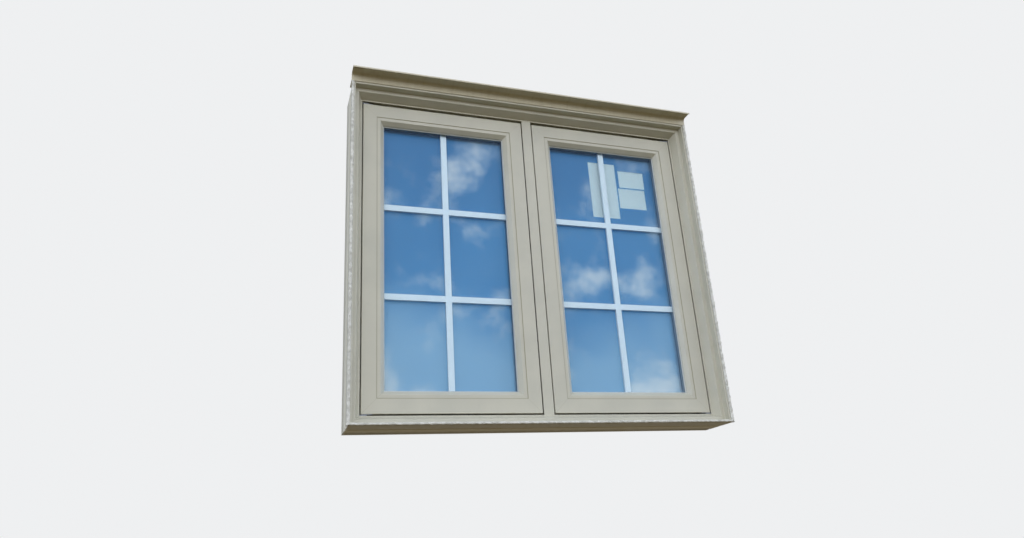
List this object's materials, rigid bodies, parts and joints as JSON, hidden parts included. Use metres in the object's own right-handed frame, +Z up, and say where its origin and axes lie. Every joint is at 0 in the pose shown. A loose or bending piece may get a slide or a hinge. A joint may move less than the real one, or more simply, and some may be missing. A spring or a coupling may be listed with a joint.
{
  "type": "twin casement window",
  "caption": "Welded plastic window with side-hung crank-opened sashes beside a mullion, sealed glazing with grille bars between the panes, and a folded head flashing.",
  "frame": {"origin": "middle of the sill's underside, in the plane of the closed sashes' outside faces", "axes": "+X along the window to the right seen from the street, +Y from the street into the room, +Z up"},
  "size_m": [1.14, 0.2462, 1.0513],
  "materials": {
    "frame_pvc": "satin sandstone extruded plastic, mitred and welded",
    "sash_pvc": "satin sandstone extruded plastic, mitred and welded",
    "bead_pvc": "satin sandstone extruded plastic strip",
    "flashing_paint": "folded sheet with baked sandstone paint",
    "sealant": "hand-tooled off-white sealant",
    "seal_rubber": "black compression strip",
    "gasket_rubber": "dark grey gasket",
    "glass": "clear float glass",
    "spacer_aluminium": "mill-finish spacer",
    "grille_paint": "white painted bars",
    "screw_steel": "zinc-plated steel",
    "hinge_steel": "zinc-plated pressed steel",
    "arm_steel": "zinc-plated steel bar",
    "operator_casting": "painted zinc casting",
    "cover_plastic": "moulded beige cover",
    "crank_paint": "painted zinc casting",
    "knob_plastic": "moulded beige knob",
    "lock_paint": "painted zinc casting",
    "guide_plastic": "moulded acetal",
    "label_paper": "plain paper sticker"
  },
  "bodies": {
    "window_frame": {"main_frame": "frame_pvc", "mullion": "frame_pvc", "head_flashing": "flashing_paint", "perimeter_sealant": "sealant", "flashing_screws": "screw_steel", "weatherstrip_right": "seal_rubber", "weatherstrip_left": "seal_rubber", "top_pivot_bracket_right": "hinge_steel", "top_pivot_bracket_left": "hinge_steel", "bottom_pivot_bracket_right": "hinge_steel", "bottom_pivot_bracket_left": "hinge_steel", "operator_base_right": "operator_casting", "operator_base_left": "operator_casting", "operator_cover_right": "cover_plastic", "operator_cover_left": "cover_plastic", "lock_plate_right": "lock_paint", "lock_plate_left": "lock_paint", "tie_bar_guides_right": "guide_plastic", "tie_bar_guides_left": "guide_plastic", "frame_screws_right": "screw_steel", "frame_screws_left": "screw_steel"},
    "right_sash": {"sash_frame_right": "sash_pvc", "glazing_beads_right": "bead_pvc", "outer_gasket_right": "gasket_rubber", "outer_pane_right": "glass", "inner_pane_right": "glass", "edge_spacer_right": "spacer_aluminium", "glazing_tape_right": "gasket_rubber", "setting_blocks_right": "guide_plastic", "grille_right": "grille_paint", "pivot_plates_right": "hinge_steel", "arm_track_right": "arm_steel", "lock_keepers_right": "hinge_steel", "sash_screws_right": "screw_steel", "glass_labels": "label_paper"},
    "right_arm": {"operator_arm_right": "arm_steel"},
    "right_crank": {"crank_handle_right": "crank_paint"},
    "right_knob": {"crank_knob_right": "knob_plastic"},
    "right_tie_bar": {"tie_bar_right": "arm_steel", "lock_pins_right": "arm_steel"},
    "right_lock_lever": {"lock_lever_right": "lock_paint"},
    "left_sash": {"sash_frame_left": "sash_pvc", "glazing_beads_left": "bead_pvc", "outer_gasket_left": "gasket_rubber", "outer_pane_left": "glass", "inner_pane_left": "glass", "edge_spacer_left": "spacer_aluminium", "glazing_tape_left": "gasket_rubber", "setting_blocks_left": "guide_plastic", "grille_left": "grille_paint", "pivot_plates_left": "hinge_steel", "arm_track_left": "arm_steel", "lock_keepers_left": "hinge_steel", "sash_screws_left": "screw_steel"},
    "left_arm": {"operator_arm_left": "arm_steel"},
    "left_crank": {"crank_handle_left": "crank_paint"},
    "left_knob": {"crank_knob_left": "knob_plastic"},
    "left_tie_bar": {"tie_bar_left": "arm_steel", "lock_pins_left": "arm_steel"},
    "left_lock_lever": {"lock_lever_left": "lock_paint"}
  },
  "joints": [
    {"name": "right_sash_hinge", "type": "hinge", "parent": "window_frame", "child": "right_sash", "pos_m": [0.522, 0.005, 0.512], "axis": [0, 0, 1], "range_deg": [0, 90]},
    {"name": "right_arm_pivot", "type": "hinge", "parent": "window_frame", "child": "right_arm", "pos_m": [0.482, 0.067, 0.03665], "axis": [0, 0, 1], "range_deg": [0, 85.2]},
    {"name": "right_crank_turn", "type": "hinge", "parent": "window_frame", "child": "right_crank", "pos_m": [0.42, 0.082, 0.068], "axis": [0, 0.8192, 0.5736], "range_deg": [0, 2880]},
    {"name": "right_knob_spin", "type": "hinge", "parent": "right_crank", "child": "right_knob", "pos_m": [0.345, 0.11264, 0.08945], "axis": [0, 0.8192, 0.5736], "continuous": true},
    {"name": "right_tie_bar_slide", "type": "slide", "parent": "window_frame", "child": "right_tie_bar", "axis": [0, 0, 1], "range_m": [0, 0.01838]},
    {"name": "right_lock_lever_turn", "type": "hinge", "parent": "window_frame", "child": "right_lock_lever", "pos_m": [0.016, 0.076, 0.369], "axis": [-1, 0, 0], "range_deg": [0, 100]},
    {"name": "left_sash_hinge", "type": "hinge", "parent": "window_frame", "child": "left_sash", "pos_m": [-0.522, 0.005, 0.512], "axis": [0, 0, -1], "range_deg": [0, 90]},
    {"name": "left_arm_pivot", "type": "hinge", "parent": "window_frame", "child": "left_arm", "pos_m": [-0.482, 0.067, 0.03665], "axis": [0, 0, -1], "range_deg": [0, 85.2]},
    {"name": "left_crank_turn", "type": "hinge", "parent": "window_frame", "child": "left_crank", "pos_m": [-0.42, 0.082, 0.068], "axis": [0, -0.8192, -0.5736], "range_deg": [0, 2880]},
    {"name": "left_knob_spin", "type": "hinge", "parent": "left_crank", "child": "left_knob", "pos_m": [-0.345, 0.11264, 0.08945], "axis": [0, -0.8192, -0.5736], "continuous": true},
    {"name": "left_tie_bar_slide", "type": "slide", "parent": "window_frame", "child": "left_tie_bar", "axis": [0, 0, 1], "range_m": [0, 0.01838]},
    {"name": "left_lock_lever_turn", "type": "hinge", "parent": "window_frame", "child": "left_lock_lever", "pos_m": [-0.016, 0.076, 0.369], "axis": [-1, 0, 0], "range_deg": [0, 100]}
  ],
  "couplings": [
    {"joint": "right_arm_pivot", "follows": "right_sash_hinge", "ratio": 0.946},
    {"joint": "right_crank_turn", "follows": "right_sash_hinge", "ratio": 32},
    {"joint": "right_lock_lever_turn", "follows": "right_tie_bar_slide", "rad_per_m": 94.932},
    {"joint": "left_arm_pivot", "follows": "left_sash_hinge", "ratio": 0.946},
    {"joint": "left_crank_turn", "follows": "left_sash_hinge", "ratio": 32},
    {"joint": "left_lock_lever_turn", "follows": "left_tie_bar_slide", "rad_per_m": 94.932}
  ]
}
